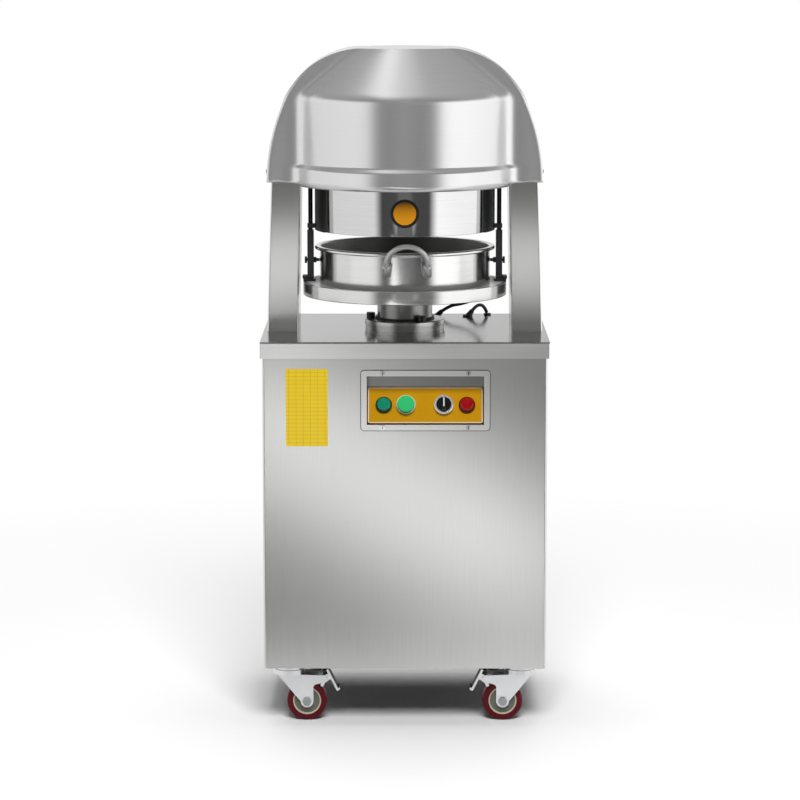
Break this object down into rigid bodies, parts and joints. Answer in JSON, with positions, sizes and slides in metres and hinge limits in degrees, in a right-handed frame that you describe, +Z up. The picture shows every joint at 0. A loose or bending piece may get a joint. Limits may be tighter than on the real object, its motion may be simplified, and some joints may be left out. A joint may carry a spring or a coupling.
{
  "type": "dough divider",
  "caption": "Floor-standing hydraulic dough divider: a steel cabinet on casters, a lifting tray with a round pan and guard ring, and a domed hood over a knife grid.",
  "frame": {"origin": "on the floor under the ram's axis", "axes": "+X to the machine's right as seen in the picture, +Y to its back, +Z up along the ram"},
  "size_m": [0.53, 0.4425, 1.244],
  "materials": {
    "satin_steel": "satin brushed stainless sheet",
    "polished_steel": "polished stainless steel",
    "worktop_steel": "fine polished stainless sheet",
    "blade_steel": "ground stainless blade steel",
    "cast_alloy": "turned and pressed aluminium",
    "frame_paint": "grey painted mild steel",
    "black_steel": "black oxide and paint",
    "zinc_steel": "bright zinc plating",
    "motor_paint": "blue enamel",
    "box_plastic": "grey moulded plastic",
    "black_rubber": "moulded black rubber",
    "amber_plate": "amber printed plate",
    "green_lens": "dark green lens",
    "red_lens": "red lens",
    "green_button": "bright green cap",
    "bezel_metal": "plated ring",
    "black_plastic": "black moulded plastic",
    "red_tyre": "dark red polyurethane",
    "hub_plastic": "cream nylon hub",
    "cable_jacket": "black cable jacket"
  },
  "bodies": {
    "machine": {"base_plate": "frame_paint", "frame": "frame_paint", "cabinet_shell": "satin_steel", "rear_cover": "satin_steel", "worktop": "worktop_steel", "post_left": "satin_steel", "post_right": "satin_steel", "hood": "satin_steel", "cover_screws": "zinc_steel", "cross_beam": "frame_paint", "cap_screws": "black_steel", "knife_grid": "blade_steel", "cylinder_barrel": "frame_paint", "gland_flange": "zinc_steel", "wiper_seal": "black_rubber", "oil_tank": "motor_paint", "pump_motor": "motor_paint", "hydraulic_pipe": "zinc_steel", "electrical_box": "box_plastic", "panel_recess": "satin_steel", "control_plate": "amber_plate", "pilot_light_green": "green_lens", "pilot_light_red": "red_lens", "button_bezel": "bezel_metal", "selector_bezel": "bezel_metal", "caster_plates": "zinc_steel", "caster_bolts": "zinc_steel", "cable_glands": "black_rubber", "sensor_cable": "cable_jacket", "lift_cable": "cable_jacket"},
    "lift": {"ram": "zinc_steel", "tray": "polished_steel", "dough_pan": "polished_steel", "pan_handle": "polished_steel", "guard_ring": "polished_steel", "ring_saddles": "black_steel", "struts": "black_steel", "tray_cable_gland": "black_rubber"},
    "press": {"press_carrier": "cast_alloy", "press_segments": "cast_alloy", "spring_rods": "zinc_steel", "press_springs": "zinc_steel"},
    "start_button": {"start_button": "green_button"},
    "selector": {"selector_knob": "black_plastic"},
    "pan_screw_left": {"pan_screw_left": "black_steel"},
    "pan_screw_right": {"pan_screw_right": "black_steel"},
    "front_left_caster": {"front_left_fork": "zinc_steel"},
    "front_left_wheel": {"front_left_hub": "hub_plastic", "front_left_tyre": "red_tyre"},
    "front_right_caster": {"front_right_fork": "zinc_steel"},
    "front_right_wheel": {"front_right_hub": "hub_plastic", "front_right_tyre": "red_tyre"},
    "rear_left_caster": {"rear_left_fork": "zinc_steel"},
    "rear_left_wheel": {"rear_left_hub": "hub_plastic", "rear_left_tyre": "red_tyre"},
    "rear_right_caster": {"rear_right_fork": "zinc_steel"},
    "rear_right_wheel": {"rear_right_hub": "hub_plastic", "rear_right_tyre": "red_tyre"},
    "front_left_brake": {"front_left_pedal": "black_steel"},
    "front_right_brake": {"front_right_pedal": "black_steel"}
  },
  "joints": [
    {"name": "lift", "type": "slide", "parent": "machine", "child": "lift", "axis": [0, 0, 1], "range_m": [0, 0.108], "deforming": ["lift_cable"]},
    {"name": "press_float", "type": "slide", "parent": "machine", "child": "press", "axis": [0, 0, 1], "range_m": [0, 0.05], "stiffness_N_per_m": 2000, "springref_m": -0.03, "deforming": ["press_springs"]},
    {"name": "start_press", "type": "slide", "parent": "machine", "child": "start_button", "axis": [0, 0.9272, -0.3746], "range_m": [0, 0.004], "stiffness_N_per_m": 500, "springref_m": -0.002},
    {"name": "selector_turn", "type": "hinge", "parent": "machine", "child": "selector", "pos_m": [0.0713, -0.1917, 0.5992], "axis": [0, -0.9272, 0.3746], "range_deg": [0, 90]},
    {"name": "pan_screw_left_draw", "type": "slide", "parent": "lift", "child": "pan_screw_left", "axis": [-1, 0, 0], "range_m": [0, 0.005]},
    {"name": "pan_screw_right_draw", "type": "slide", "parent": "lift", "child": "pan_screw_right", "axis": [1, 0, 0], "range_m": [0, 0.005]},
    {"name": "front_left_swivel", "type": "hinge", "parent": "machine", "child": "front_left_caster", "pos_m": [-0.215, -0.15, 0.09], "axis": [0, 0, 1], "continuous": true},
    {"name": "front_left_roll", "type": "hinge", "parent": "front_left_caster", "child": "front_left_wheel", "pos_m": [-0.1824, -0.15, 0.0375], "axis": [0, 1, 0], "continuous": true},
    {"name": "front_left_brake_press", "type": "hinge", "parent": "front_left_caster", "child": "front_left_brake", "pos_m": [-0.1476, -0.15, 0.0805], "axis": [0, 1, 0], "range_deg": [0, 12]},
    {"name": "front_right_swivel", "type": "hinge", "parent": "machine", "child": "front_right_caster", "pos_m": [0.215, -0.15, 0.09], "axis": [0, 0, 1], "continuous": true},
    {"name": "front_right_roll", "type": "hinge", "parent": "front_right_caster", "child": "front_right_wheel", "pos_m": [0.1824, -0.15, 0.0375], "axis": [0, 1, 0], "continuous": true},
    {"name": "front_right_brake_press", "type": "hinge", "parent": "front_right_caster", "child": "front_right_brake", "pos_m": [0.1476, -0.15, 0.0805], "axis": [0, -1, 0], "range_deg": [0, 12]},
    {"name": "rear_left_swivel", "type": "hinge", "parent": "machine", "child": "rear_left_caster", "pos_m": [-0.215, 0.15, 0.09], "axis": [0, 0, 1], "continuous": true},
    {"name": "rear_left_roll", "type": "hinge", "parent": "rear_left_caster", "child": "rear_left_wheel", "pos_m": [-0.1824, 0.15, 0.0375], "axis": [0, 1, 0], "continuous": true},
    {"name": "rear_right_swivel", "type": "hinge", "parent": "machine", "child": "rear_right_caster", "pos_m": [0.215, 0.15, 0.09], "axis": [0, 0, 1], "continuous": true},
    {"name": "rear_right_roll", "type": "hinge", "parent": "rear_right_caster", "child": "rear_right_wheel", "pos_m": [0.1824, 0.15, 0.0375], "axis": [0, 1, 0], "continuous": true}
  ]
}
